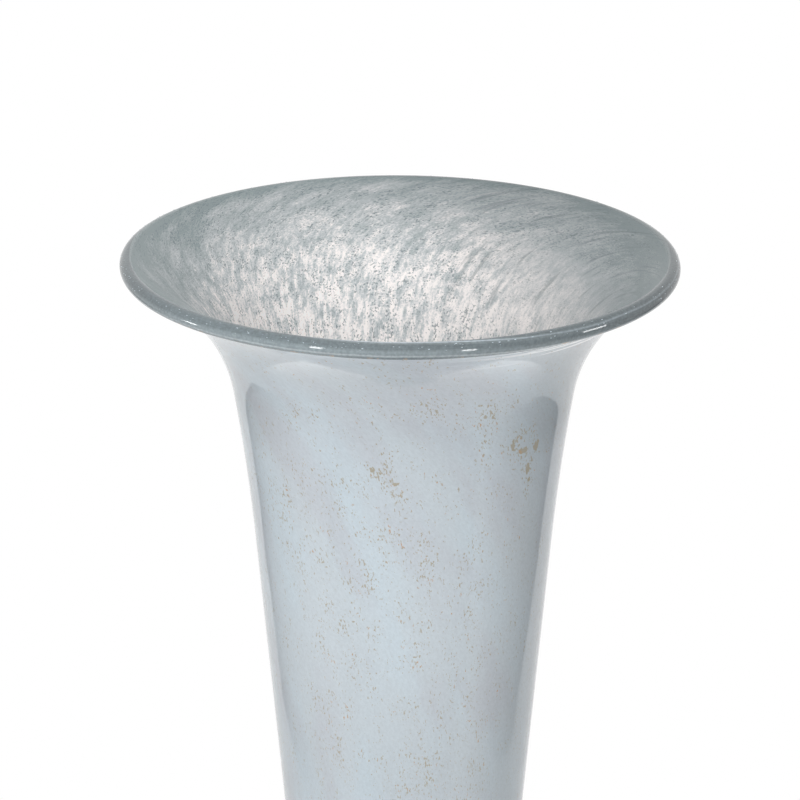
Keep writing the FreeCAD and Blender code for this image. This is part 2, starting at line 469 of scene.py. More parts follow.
def through_tree(mesh, tree, values):
    """Runs a mesh through a Geometry Nodes tree and returns the result as a plain mesh."""
    holder = bpy.data.objects.new(mesh.name, mesh)
    bpy.context.scene.collection.objects.link(holder)
    modifier = holder.modifiers.new(tree.name, "NODES")
    modifier.node_group = tree
    for item in tree.interface.items_tree:
        if item.in_out == "INPUT" and item.name in values:
            modifier[item.identifier] = values[item.name]
    evaluated = holder.evaluated_get(bpy.context.evaluated_depsgraph_get())
    result = bpy.data.meshes.new_from_object(evaluated)
    bpy.data.objects.remove(holder)
    return result


def turned_mesh(name, points, sizes, material, profile=None, segments=None, uneven=True):
    """A closed mesh, turned from an outline that runs upwards on its outer side."""
    mesh = through_tree(outline_mesh(name, points, profile), shared_tree("Lathe", lathe_tree), {
        "Segments": segments or sizes.segments,
        "Unevenness": sizes.unevenness if uneven else 0.0,
        "Lean": sizes.lean if uneven else 0.0,
        "Rim Dip": sizes.rim_dip if uneven else 0.0,
        "Height": sizes.height,
        "Material": material,
    })
    mesh.set_sharp_from_angle(angle=SHARP_ANGLE)
    return mesh


def place_piece(context, name, mesh, slot, *nodes):
    """Puts a finished mesh into the scene as the piece that stands for the named nodes."""
    old = bpy.data.objects.get(name)
    if old:
        bpy.data.objects.remove(old)
    if len(mesh.polygons) == 0:
        raise RuntimeError(f"the mesh of {name} is empty")
    mesh.name = name
    piece = bpy.data.objects.new(name, mesh)
    context.scene.collection.objects.link(piece)
    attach(piece, "root")
    if nodes:
        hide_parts(*nodes)
    return piece


def new_material(name):
    """A node material without nodes, its tree, and what adds a node to that tree."""
    material = bpy.data.materials.new(name)
    material.use_nodes = True
    tree = material.node_tree
    tree.nodes.clear()
    return material, tree, functools.partial(add_node, tree)


def surfaced(material, inputs):
    """Ends a material with the shader that has those inputs, and returns it."""
    shader = add_node(material.node_tree, "ShaderNodeBsdfPrincipled", inputs)
    add_node(material.node_tree, "ShaderNodeOutputMaterial", {"Surface": shader})
    return material


def stops(ramp, places):
    """Sets the colour stops of a ramp from a dictionary of position and linear colour."""
    elements = ramp.color_ramp.elements
    while len(elements) < len(places):
        elements.new(1.0)
    for element, (position, shade) in zip(elements, places.items()):
        element.position = position
        element.color = (*shade, 1.0)


def clouds(lines, size, stretch=1.0, offset=0.0, detail=2.0, roughness=0.5):
    """Noise with patches of that size in millimetres, stretched along the pull of the glass.

    The offset moves it on, so that no two patterns are alike.
    """
    tree = lines.id_data
    drawn = add_node(tree, VECTOR_MATH,
                     [lines, (1.0, 1.0, 1.0 / stretch), (offset, offset, offset)], operation="MULTIPLY_ADD")
    return add_node(tree, "ShaderNodeTexNoise", {
        "Vector": drawn, "Scale": 1 / (size * MM), "Detail": detail, "Roughness": roughness}).outputs["Fac"]


def painted(shade, *coats):
    """A colour with coats over it. Each has the parts of how much of it shows, and then its colour."""
    for *parts, coat in coats:
        shows = amount(*parts)
        first, second = (
            tint if isinstance(tint, bpy.types.NodeSocket) else (*tint, 1.0) for tint in (shade, coat))
        mixed = add_node(shows.id_data, "ShaderNodeMix", {
            "Factor": shows, "A": first, "B": second}, data_type="RGBA")
        shade = mixed.outputs["Result"]
    return shade


def scaled(shade, *parts):
    """A colour times each of the parts, which are given as for an amount."""
    for part in parts:
        shade = add_node(shade.id_data, VECTOR_MATH, [shade, amount(part)],
                         operation="SCALE").outputs["Vector"]
    return shade


class Spot:
    """Where a point lies: across, to either side of and behind the axis, its level, and its radius."""

    def __init__(self, tree):
        self.place = add_node(tree, "ShaderNodeTexCoord").outputs["Object"]
        self.across, self.behind, self.level = add_node(tree, "ShaderNodeSeparateXYZ", [self.place]).outputs
        self.to_a_side = add_node(tree, MATH, [self.across], operation="ABSOLUTE").outputs["Value"]
        self.flat = add_node(tree, VECTOR_MATH, [self.place, (1.0, 1.0, 0.0)], operation="MULTIPLY")
        self.radius = add_node(tree, VECTOR_MATH, [self.flat], operation="LENGTH").outputs["Value"]

    def lines(self, girth, measure, whole, turn, slope=0.0):
        """Coordinates that follow the pull of the glass.

        The first two go round the axis, at a size as if the vase had that girth radius everywhere, and
        are turned by an angle that grows steeply with the measure. The third climbs the wall.
        """
        add = functools.partial(add_node, self.place.id_data)
        unit = add(VECTOR_MATH, [self.flat], operation="NORMALIZE")
        part = add(MATH, [measure, whole], operation="DIVIDE")
        bent = add(MATH, [part, PULL_POWER], operation="POWER")
        turned = add("ShaderNodeVectorRotate", {"Vector": unit, "Angle": amount(bent, turn)},
                     rotation_type="Z_AXIS")
        sized = add(VECTOR_MATH, [turned, (girth, girth, 0.0)], operation="MULTIPLY")
        climb = add(MATH, [self.radius, slope, self.level], operation="MULTIPLY_ADD")
        upward = add("ShaderNodeCombineXYZ", [0.0, 0.0, climb])
        return add(VECTOR_MATH, [sized, upward], operation="ADD").outputs["Vector"]


# Where flecks gather on the side that the photograph shows: azimuth from the right in degrees, level,
# reach across and reach up in millimetres, and how full the place is.
FLECK_PLACES = (
    (-45, 524, 13, 15, 1.0), (-40, 505, 7, 14, 0.8), (-62, 547, 19, 10, 0.75), (-82, 553, 16, 9, 0.7),
    (-60, 523, 9, 14, 0.6), (-97, 513, 9, 13, 0.9), (-88, 500, 9, 13, 0.8), (-112, 497, 20, 22, 0.6),
    (-137, 488, 18, 26, 0.5), (-128, 458, 20, 20, 0.6), (-104, 455, 16, 18, 0.55), (-80, 466, 8, 18, 0.6),
    (-112, 425, 22, 18, 0.45), (-62, 420, 10, 18, 0.55), (-84, 428, 14, 18, 0.45), (-115, 385, 20, 22, 0.3),
    (-75, 360, 22, 26, 0.3), (-124, 546, 12, 9, 0.55), (-147, 512, 8, 14, 0.45), (-70, 398, 20, 16, 0.6),
    (-58, 372, 13, 26, 0.6), (-82, 330, 22, 26, 0.6), (-55, 325, 11, 26, 0.6), (-108, 400, 22, 12, 0.6),
    (-118, 345, 16, 30, 0.5), (-60, 455, 12, 30, 0.5), (-95, 475, 20, 12, 0.6),
)

# The few that are large enough to have a shape, in the same measures, ending with how solid each is.
LARGE_FLECKS = (
    (-49.7, 526, 2.2, 5.5, 1.0), (-44.5, 520, 4.0, 2.4, 1.0), (-38.2, 520.5, 2.8, 5.0, 1.0),
    (-41.0, 509, 2.2, 5.5, 1.0), (-39.6, 501, 1.8, 4.5, 0.9), (-59.4, 546, 2.0, 2.0, 0.7),
    (-65.5, 554.5, 3.2, 1.2, 0.6), (-39.7, 545, 2.0, 1.0, 0.8), (-99.4, 517.5, 2.0, 2.4, 0.7),
    (-91.8, 509.5, 3.0, 2.2, 0.7), (-52.9, 523.5, 1.6, 2.0, 0.6),
)

# A place's hold on its flecks is full up to the first of these shares of its reach, and ends at the second.
PLACE_FULL, PLACE_ENDS = 0.2, 1.6


def outer_radius(outline, sizes, level):
    """Radius of the outside at a level, read off its outline."""
    points = outline.flank(0, sizes.heel_level + 50 * MM)
    for lower, upper in zip(points, points[1:]):
        if lower.y <= level <= upper.y:
            return lower.lerp(upper, (level - lower.y) / (upper.y - lower.y)).x
    return sizes.rim_radius


def field_of_places(place, places, outline, sizes):
    """How near each point is to the listed places on the wall, from 0 to their own fullness."""
    add = functools.partial(add_node, place.id_data)
    field = 0.0
    for azimuth, level, reach_across, reach_up, fullness in places:
        radius = outer_radius(outline, sizes, level * MM)
        turn = math.radians(azimuth)
        middle = (radius * math.cos(turn), radius * math.sin(turn), level * MM)
        away = add(VECTOR_MATH, [place, middle], operation="SUBTRACT")
        scale = (1 / (reach_across * MM), 1 / (reach_across * MM), 1 / (reach_up * MM))
        in_reaches = add(VECTOR_MATH, [away, scale], operation="MULTIPLY")
        distance = add(VECTOR_MATH, [in_reaches], operation="LENGTH").outputs["Value"]
        near = amount((distance, PLACE_ENDS, PLACE_FULL, 0.0, fullness))
        field = add(MATH, [near, field], operation="MAXIMUM").outputs["Value"]
    return field


def opal_under_casing(sizes, colours, outline, glossy=True):
    """Opaque opal glass under a clear casing, free blown and fire polished.

    The casing has no colour of its own, so the pair is one glossy surface. The colour lies in slow
    clouds, bluer and greyer, that were pulled down the wall, and is sown with tan flecks of ash.
    """
    material, tree, add = new_material("opal_glass_under_casing" if glossy else "opal_glass_bare")
    spot = Spot(tree)
    lines = spot.lines(BODY_GIRTH, spot.level, sizes.height, 1.6)
    shade = painted(
        colours.opal,
        ((clouds(lines, 30, 3.4, 0.11, 4.0), 0.40, 0.68, 0.0, 0.8), colours.opal_blue),
        ((clouds(lines, 26, 3.0, 0.53, 4.0), 0.46, 0.68, 0.0, 0.7), colours.opal_lavender),
    )

    # A fine grain, and painted shade: the opal is made darker on the right, at the far left and lower down,
    # where less light falls, and right under the lip as a painted shadow of the rim. Aside is -1 at the left
    # edge and 1 at the right, and the levels are up the whole vase.
    grain = clouds(lines, 1.3, 1.5, 0.2, 3.0, 0.7)
    aside = add(MATH, [spot.across, spot.radius], operation="DIVIDE")
    painted_side_shade = add(MATH, [amount((aside, 0.5, 0.9, 0.0, 0.17)), amount((aside, -0.5, -0.85, 0.0, 0.08))])
    painted_upper_shade = amount(painted_side_shade, (spot.level, 505 * MM, 530 * MM))
    shade = scaled(
        shade, (grain, 0.3, 0.7, 0.95, 1.04), (aside, 0.4, 0.9, 1.0, 0.88), (aside, -0.8, -1.0, 1.0, 0.94),
        (spot.level, 300 * MM, 440 * MM, 0.9, 1.0), add(MATH, [1.0, painted_upper_shade], operation="SUBTRACT"),
        (spot.level, 552 * MM, 582 * MM, 1.0, 0.9),
    )

    # Fine lines were drawn round the casing where the lip was trailed on. They show on the right, painted
    # white: a painted reflection of the white background seen through the casing.
    drawn = (clouds(spot.place, 70, 0.018, 0.7, 1.0), 0.52, 0.62, 0.0, 0.75)
    shade = painted(shade, (drawn, (spot.level, 580 * MM, 587 * MM), (aside, 0.1, 0.6), WHITE))

    # The flecks are crumbs of ash. They lie along the pull of the glass, and gather in loose clusters. One
    # shows where its noise passes a threshold, which the fullness of a place brings nearer.
    upright = spot.lines(BODY_GIRTH, spot.level, sizes.height, 0.5)
    gathered = field_of_places(spot.place, FLECK_PLACES, outline, sizes)
    cluster = amount((clouds(upright, 7, 2.2, 0.87, 2.0, 0.6), 0.3, 0.7, -0.06, 0.06))
    crumbs = add(MATH, [clouds(upright, 1.0, 1.9, 0.63, 2.0, 0.6), cluster])
    fine = add(MATH, [gathered, 0.09, crumbs], operation="MULTIPLY_ADD")
    large = field_of_places(spot.place, LARGE_FLECKS, outline, sizes)
    ragged = clouds(upright, 2.2, 1.6, 0.3, 3.0, 0.7)
    coarse = add(MATH, [large, 0.58, ragged], operation="MULTIPLY_ADD")
    tan = painted(colours.fleck, ((clouds(lines, 5, 1, 0.4), 0.58, 0.68), colours.fleck_warm))
    shade = painted(shade, ((fine, 0.645, 0.71), 0.85, tan), ((coarse, 0.79, 0.83), 0.88, tan))
    if glossy:
        return surfaced(material, {"Base Color": shade, "Roughness": 0.03, "IOR": 1.58})
    # Glass in contact with a colour swallows light, so the colour under the heel is written paler.
    paler = scaled(shade, 1.28)
    return surfaced(material, {"Base Color": paler, "Roughness": 0.5, "Specular IOR Level": 0.0})


def frit_pattern(spot, sizes, colours):
    """The colour of the crushed glass inside.

    The bubble was spun open, so the frit lies in streaks that run up the throat and swing round until
    they follow the rim. Dark grains crowd in patches, and the coat is thin and smoky at the rim.
    """
    add = functools.partial(add_node, spot.place.id_data)
    lines = spot.lines(110 * MM, spot.radius, sizes.rim_radius, 0.9, 3.0)
    tone = amount((spot.radius, 88 * MM, 140 * MM, 0.78, 0.36))
    at_rim = (spot.radius, 138 * MM, 149 * MM, 0.0, -0.5)
    # Painted shade: the inside is made darker towards either side, where less light falls on it.
    shaded_sides = (spot.to_a_side, 80 * MM, 138 * MM, 0.0, -0.3)
    for darker in (at_rim, shaded_sides):
        tone = add(MATH, [tone, amount(darker)])
    # Painted reflection: on the right, deeper inside, a reflection on the lining is painted by making the
    # streaks and grains fainter.
    reflection_wash = amount((spot.across, 15 * MM, 95 * MM), (spot.radius, 124 * MM, 112 * MM, 0.2, 0.6))
    clear = add(MATH, [1.0, reflection_wash], operation="SUBTRACT")
    streaky = amount((spot.radius, 90 * MM, 138 * MM, 2.3, 0.7))
    for *pattern, strength in (
        (20, 1.8, 0.31, 4.0, 0.6, 1.3), (3.4, 5.0, 0.77, 4.0, 0.65, streaky), (1.2, 1.7, 0.05, 2.0, 0.6, 1.1),
    ):
        centred = add(MATH, [clouds(lines, *pattern), 0.5], operation="SUBTRACT")
        tone = add(MATH, [amount(centred, clear), strength, tone], operation="MULTIPLY_ADD")
    ramp = add("ShaderNodeValToRGB", [tone])
    stops(ramp, {0.0: colours.frit_rim, 0.5: colours.frit_grey, 1.0: colours.frit_white})

    # On the right the coat was drawn into long dark creases. Painted shade and light: the inside is made
    # darker on the right and towards the rim, and lighter on the left and deep in the throat.
    crowd = amount((clouds(lines, 9, 2.0, 0.6, 3.0, 0.6), 0.38, 0.66))
    grains = add(MATH, [crowd, 0.13, clouds(lines, 1.35, 1.7, 0.9, 1.0, 0.5)], operation="MULTIPLY_ADD")
    creases = clouds(lines, 5.0, 16.0, 0.37, 2.0)
    shade = painted(
        ramp.outputs["Color"],
        ((grains, 0.67, 0.735, 0.0, 0.72), clear, colours.speck),
        ((creases, 0.58, 0.68), (spot.across, 10 * MM, 50 * MM, 0.0, 0.4), colours.speck),
    )
    return scaled(
        shade, (spot.across, -70 * MM, 95 * MM, 1.11, 0.81), (spot.radius, 90 * MM, 145 * MM, 1.1, 0.89))


def frit_under_crystal(sizes, colours):
    """Grey and white frit, crushed glass fused into a coat, under a clear fire-polished lining."""
    material, tree, _ = new_material("frit_glass_under_crystal")
    shade = frit_pattern(Spot(tree), sizes, colours)
    return surfaced(material, {"Base Color": shade, "Roughness": 0.38, "IOR": 1.45})


def smoky_lip_glass(sizes, colours):
    """Smoky soda-lime glass, trailed on hot and rolled round, with seed bubbles and a bronze line.

    The thick bead is dark where one looks deep into it and the thinner lower half is paler, with a thin
    light line: bands painted round its profile, partly the smoky glass's own depth and partly painted
    shade and light. A painted highlight lies along its crest, and fine drawn lines follow the rim. On its
    inside the frit shows through. The profile is the angle round the bead in degrees, 0 outwards and 90
    on its crest.
    """
    material, tree, add = new_material("smoky_lip_glass")
    spot = Spot(tree)
    profile = add("ShaderNodeAttribute", attribute_name="profile").outputs["Fac"]
    # The lines on the bead wander by up to 5 degrees to either side.
    wandered = add(MATH, [clouds(spot.place, 18), 10.0, profile], operation="MULTIPLY_ADD")
    turn_here = add(MATH, [wandered, 5.0], operation="SUBTRACT")
    # A painted highlight, a line of reflected light, lies on the crest in the middle, sinks towards the
    # right and goes over to the left.
    sunk = amount((spot.across, 5 * MM, 95 * MM, 0.0, 48.0))
    risen = amount((spot.across, -70 * MM, -10 * MM, -20.0, 0.0))
    highlight_turn = add(MATH, [turn_here, add(MATH, [sunk, risen])])
    half_sunk = add(MATH, [sunk, 0.5, turn_here], operation="MULTIPLY_ADD")
    lowest, highest = LIP_TURNS
    where = add("ShaderNodeMapRange", {"Value": half_sunk, "From Min": lowest, "From Max": highest})
    ramp = add("ShaderNodeValToRGB", [where])
    dark, light = colours.smoke, colours.smoke_light
    stops(ramp, {(turn - lowest) / (highest - lowest): shade for turn, shade in (
        (lowest, dark), (-38, dark), (-30, light), (-21, colours.smoke_line), (-12, light), (3, light),
        (28, dark), (50, dark), (highest, dark),
    )})
    # Painted highlight: a pale band of painted light round the crest with the bluish line on it, fading out
    # at the left and weaker on the right.
    fading = amount((spot.across, -60 * MM, -15 * MM), (spot.across, 15 * MM, 80 * MM, 1.0, 0.3))
    shade = painted(
        ramp.outputs["Color"],
        ((highlight_turn, 56, 76), (highlight_turn, 108, 97), fading, light),
        ((highlight_turn, 78, 88), (highlight_turn, 98, 90), fading, colours.lip_highlight),
    )

    # Drawn lines a few degrees apart, and a mottle. Painted shade: the lip is made darker on the right and
    # at the two ends.
    rows = add("ShaderNodeCombineXYZ", [profile, 0.0, 0.0])
    drawn = add("ShaderNodeTexNoise", {"Vector": rows, "Scale": 0.25, "Detail": 3.0, "Roughness": 0.7})
    shade = scaled(
        shade, (drawn.outputs["Fac"], 0.3, 0.7, 0.88, 1.12),
        (clouds(spot.place, 1.6, detail=3.0), 0.3, 0.7, 0.88, 1.12),
        (spot.across, -80 * MM, 60 * MM, 1.04, 0.84), (spot.to_a_side, 110 * MM, 150 * MM, 1.0, 0.8),
    )

    # The bronze line lies low on the bead. The frit shows through the bead's inner side, and at the back
    # through its crest too.
    bronze_spots = (clouds(spot.place, 6, detail=3.0), 0.56, 0.64, 0.0, 0.5)
    frit_from = amount((spot.behind, -20 * MM, 60 * MM, 106.0, 70.0))
    past = add(MATH, [turn_here, frit_from], operation="SUBTRACT")
    shade = painted(
        shade, ((profile, -62.0, -52.0), (profile, -34.0, -42.0), bronze_spots, colours.fleck_warm),
        ((past, -6.0, 3.0), frit_pattern(spot, sizes, colours)),
    )
    return surfaced(material, {"Base Color": shade, "Roughness": 0.04, "IOR": 1.5})


def clear_foot_glass(sizes, colours):
    """Clear soda-lime glass with a faint grey tint, fire polished. Its rest ring is ground and satin."""
    material, tree, _ = new_material("clear_foot_glass")
    ground_up_to = sizes.pad_thickness + 0.1 * MM
    polished_from = sizes.pad_thickness + 0.25 * MM
    rough = amount((Spot(tree).level, polished_from, ground_up_to, 0.015, 0.38))
    return surfaced(material, {
        "Base Color": (*colours.clear, 1), "Roughness": rough, "IOR": 1.5, "Transmission Weight": 1.0})


def seed_bubble(colours):
    """An air bubble in glass, its shining inner skin a painted reflection in patches."""
    material, tree, _ = new_material("seed_bubble_glass")
    bright = (clouds(Spot(tree).place, 3), 0.35, 0.65)
    shade = painted(colours.smoke_light, (bright, colours.lip_highlight))
    return surfaced(material, {"Base Color": shade, "Roughness": 0.03, "IOR": 1.5})


def pad_silicone(colours):
    """Soft moulded silicone, milky and a little dusty where it is handled."""
    material, tree, _ = new_material("moulded_silicone")
    dust = clouds(Spot(tree).place, 1.5, detail=3.0)
    shade = painted(colours.silicone, ((dust, 0.4, 0.7, 0.0, 0.25), colours.dust))
    return surfaced(material, {
        "Base Color": shade, "Roughness": amount((dust, 0.4, 0.7, 0.36, 0.5)), "IOR": 1.43,
        "Subsurface Weight": 0.2, "Subsurface Radius": (3 * MM, 3 * MM, 3 * MM)})


class VaseOperator:
    """What the vase's operators share."""

    bl_options = {"REGISTER", "UNDO"}

    def read(self, context):
        sizes = context.scene.vase_sizes
        return sizes, context.scene.vase_colours, Outline(sizes)


class VASE_OT_wall(VaseOperator, bpy.types.Operator):
    """Builds the wall that shows outside, and the clear heel below it."""

    bl_idname = "vase.wall"
    bl_label = "Wall And Heel"

    def execute(self, context):
        sizes, colours, outline = self.read(context)
        floor = outline.bubble_floor(sizes.casing)
        split_level = outline.cup(sizes.casing, floor, sizes.bubble_flat_radius)[-1].y
        lowest = at(outline.taper_radius(sizes.casing, split_level), split_level - WALL_SINK)
        points = closed(
            outline.flank(0, split_level), reversed(outline.flank(sizes.casing, split_level)), [lowest])
        wall = turned_mesh("casing_wall", points, sizes, opal_under_casing(sizes, colours, outline))
        place_piece(context, "casing_wall", wall, "casing_glass", "outer_casing")

        inner = outline.cup(sizes.casing + GLASS_SINK, floor + GLASS_SINK, sizes.bubble_flat_radius)
        bottom = sizes.heel_level - GLASS_SINK
        corner, corner_radius = outline.corner(0, sizes.heel_level, sizes.seat_radius)
        side_level = split_level - HEEL_SIDE
        points = joined(
            run(at(0, bottom), at(sizes.seat_radius, bottom), 3),
            arc(corner, corner_radius, -math.pi / 2, -outline.lower_lean, 10),
            run(at(outline.taper_radius(0, side_level), side_level),
                at(outline.taper_radius(0, split_level), split_level), 4),
            [at(inner[-1].x, split_level)],
            reversed(inner),
        )
        heel = turned_mesh("casing_heel", points, sizes, clear_foot_glass(sizes, colours))
        place_piece(context, "casing_heel", heel, "casing_glass", "outer_casing").visible_shadow = False
        return {"FINISHED"}


class VASE_OT_coats(VaseOperator, bpy.types.Operator):
    """Builds the three inner coats. The lining shows inside, the colour coat through the clear heel."""

    bl_idname = "vase.coats"
    bl_label = "Inner Coats"

    def execute(self, context):
        sizes, colours, outline = self.read(context)
        inside = frit_under_crystal(sizes, colours)
        bare = opal_under_casing(sizes, colours, outline, glossy=False)
        depth = sizes.casing
        for name, slot, thickness, material, segments in (
            ("colour_coat", "blue_opal_glass", sizes.colour_coat, bare, sizes.segments // 2),
            ("frit_coat", "grey_frit_glass", sizes.frit_coat, inside, sizes.segments // 2),
            ("crystal_lining", "lining_glass", sizes.crystal, inside, sizes.segments),
        ):
            outer = outline.surface(depth)
            depth += thickness
            points = joined(outer, reversed(outline.surface(depth)))
            mesh = turned_mesh(name, points, sizes, material, segments=segments)
            place_piece(context, name + "_glass", mesh, slot, name)
        return {"FINISHED"}


class VASE_OT_lip(VaseOperator, bpy.types.Operator):
    """Builds the rolled lip and the seed bubbles in it."""

    bl_idname = "vase.lip"
    bl_label = "Rolled Lip"

    def execute(self, context):
        sizes, colours, outline = self.read(context)
        points = self.outline_points(outline, sizes)
        from_centre = [point - outline.lip_centre for point in points]
        profile = [math.degrees(math.atan2(off.y, off.x)) for off in from_centre]
        lip = turned_mesh("lip", points, sizes, smoky_lip_glass(sizes, colours), profile)
        place_piece(context, "lip", lip, "smoke_glass", "lip_wrap")
        seeds = through_tree(lip, shared_tree("Lip Seeds", seeds_tree), {
            "Density": 70000.0, "Seed": 11, "Length": 1.3 * MM, "Lowest": 10.0, "Highest": 68.0,
            "Depth": -0.2 * MM, "Material": seed_bubble(colours),
        })
        place_piece(context, "lip_seeds", seeds, "smoke_glass")
        return {"FINISHED"}

    def outline_points(self, outline, sizes):
        """The cove under the overhang, the bead, and the faces where it sits on the wall."""
        seat_turn = math.pi - sizes.flare_end_lean
        bead_distance = sizes.flare_arc_radius + outline.wall - sizes.lip_bead_radius
        cove_distance = sizes.flare_arc_radius - sizes.lip_cove_radius
        apart = sizes.lip_bead_radius + sizes.lip_cove_radius
        cosine = (cove_distance**2 + bead_distance**2 - apart**2) / (2 * cove_distance * bead_distance)
        cove_turn = seat_turn + math.acos(cosine)
        cove_centre = on_circle(outline.flare_centre, cove_distance, cove_turn)
        from_bead = cove_centre - outline.lip_centre
        bead_end = math.atan2(from_bead.y, from_bead.x)
        return closed(
            arc(cove_centre, sizes.lip_cove_radius, cove_turn, bead_end + math.pi, 8),
            arc(outline.lip_centre, sizes.lip_bead_radius, bead_end, seat_turn, 56),
            arc(outline.flare_centre, sizes.flare_arc_radius + LIP_SINK, seat_turn, cove_turn, 6),
        )


class VASE_OT_foot(VaseOperator, bpy.types.Operator):
    """Builds the merese and the foot, both of clear glass."""

    bl_idname = "vase.foot"
    bl_label = "Merese And Foot"

    def execute(self, context):
        sizes, colours, _ = self.read(context)
        glass = bpy.data.materials.get("clear_foot_glass") or clear_foot_glass(sizes, colours)
        foot, foot_top = self.foot_points(sizes)
        bottom = foot_top - GLASS_SINK
        top = sizes.heel_level + GLASS_SINK
        edge_radius = (sizes.heel_level - foot_top) / 2
        edge = at(sizes.seat_radius, foot_top + edge_radius)
        merese = joined(
            run(at(0, bottom), at(sizes.seat_radius, bottom), 3),
            arc(edge, edge_radius, -math.pi / 2, math.pi / 2, 16),
            run(at(sizes.seat_radius, top), at(0, top), 3),
        )
        for name, points, node in (("merese_wafer", merese, "merese"), ("spread_foot", foot, "foot")):
            mesh = turned_mesh(name, points, sizes, glass, segments=192)
            place_piece(context, name, mesh, "foot_glass", node).visible_shadow = False
        return {"FINISHED"}

    def dome(self, radius, level, rise):
        """Centre and radius of the sphere through a ring on that level and a top so much higher."""
        sphere = (radius**2 + rise**2) / (2 * rise)
        return at(0, level + rise - sphere), sphere

    def foot_points(self, sizes):
        """The foot's outline, from the hollow under it over the round edge and up to the merese."""
        edge_radius = sizes.foot_edge_thickness / 2
        edge = at(sizes.foot_radius - edge_radius, sizes.pad_thickness + edge_radius)
        slope_start = on_circle(edge, edge_radius, math.pi / 2 - sizes.foot_slope)
        sweep_at = sizes.seat_radius + sizes.foot_sweep_radius
        under_sweep = slope_start.y + (slope_start.x - sweep_at) * math.tan(sizes.foot_slope)
        foot_top = under_sweep + sizes.foot_sweep_radius / math.cos(sizes.foot_slope)
        ring_inner = at(edge.x - sizes.rest_ring_width, sizes.pad_thickness)
        kick, kick_radius = self.dome(ring_inner.x, ring_inner.y, sizes.kick_height)
        kick_end = math.acos(sizes.pontil_radius / kick_radius)
        mark = on_circle(kick, kick_radius, kick_end)
        dish, dish_radius = self.dome(mark.x, mark.y, sizes.pontil_depth)
        sweep = arc(at(sweep_at, foot_top), sizes.foot_sweep_radius,
                    math.pi * 1.5 - sizes.foot_slope, math.pi, 14)
        points = joined(
            arc(dish, dish_radius, math.pi / 2, math.acos(sizes.pontil_radius / dish_radius), 6),
            arc(kick, kick_radius, kick_end, math.acos(ring_inner.x / kick_radius), 16),
            run(ring_inner, at(edge.x, sizes.pad_thickness), 4),
            arc(edge, edge_radius, -math.pi / 2, math.pi / 2 - sizes.foot_slope, 16),
            run(slope_start, sweep[0], 8),
            sweep,
            run(at(sizes.seat_radius, foot_top), at(0, foot_top), 3),
        )
        return points, foot_top


class VASE_OT_pads(VaseOperator, bpy.types.Operator):
    """Builds the soft pads, evenly spaced under the foot's rest ring."""

    bl_idname = "vase.pads"
    bl_label = "Pads"

    def execute(self, context):
        sizes, colours, _ = self.read(context)
        rubber = pad_silicone(colours)
        flat_radius = sizes.pad_radius - PAD_EDGE
        points = joined(
            run(at(0, 0), at(flat_radius, 0), 3),
            arc(at(flat_radius, PAD_EDGE), PAD_EDGE, -math.pi / 2, 0, 5),
            run(at(sizes.pad_radius, sizes.pad_thickness), at(0, sizes.pad_thickness), 3),
        )
        pad = turned_mesh("pad", points, sizes, rubber, segments=48, uneven=False)
        ring_middle = sizes.foot_radius - sizes.foot_edge_thickness / 2 - sizes.rest_ring_width / 2
        ring = through_tree(pad, shared_tree("Ring Of Copies", ring_tree), {
            "Count": sizes.pad_count, "Radius": ring_middle, "Material": rubber})
        ring.set_sharp_from_angle(angle=SHARP_ANGLE)
        place_piece(context, "soft_pads", ring, "clear_pad", "foot_pads")
        return {"FINISHED"}


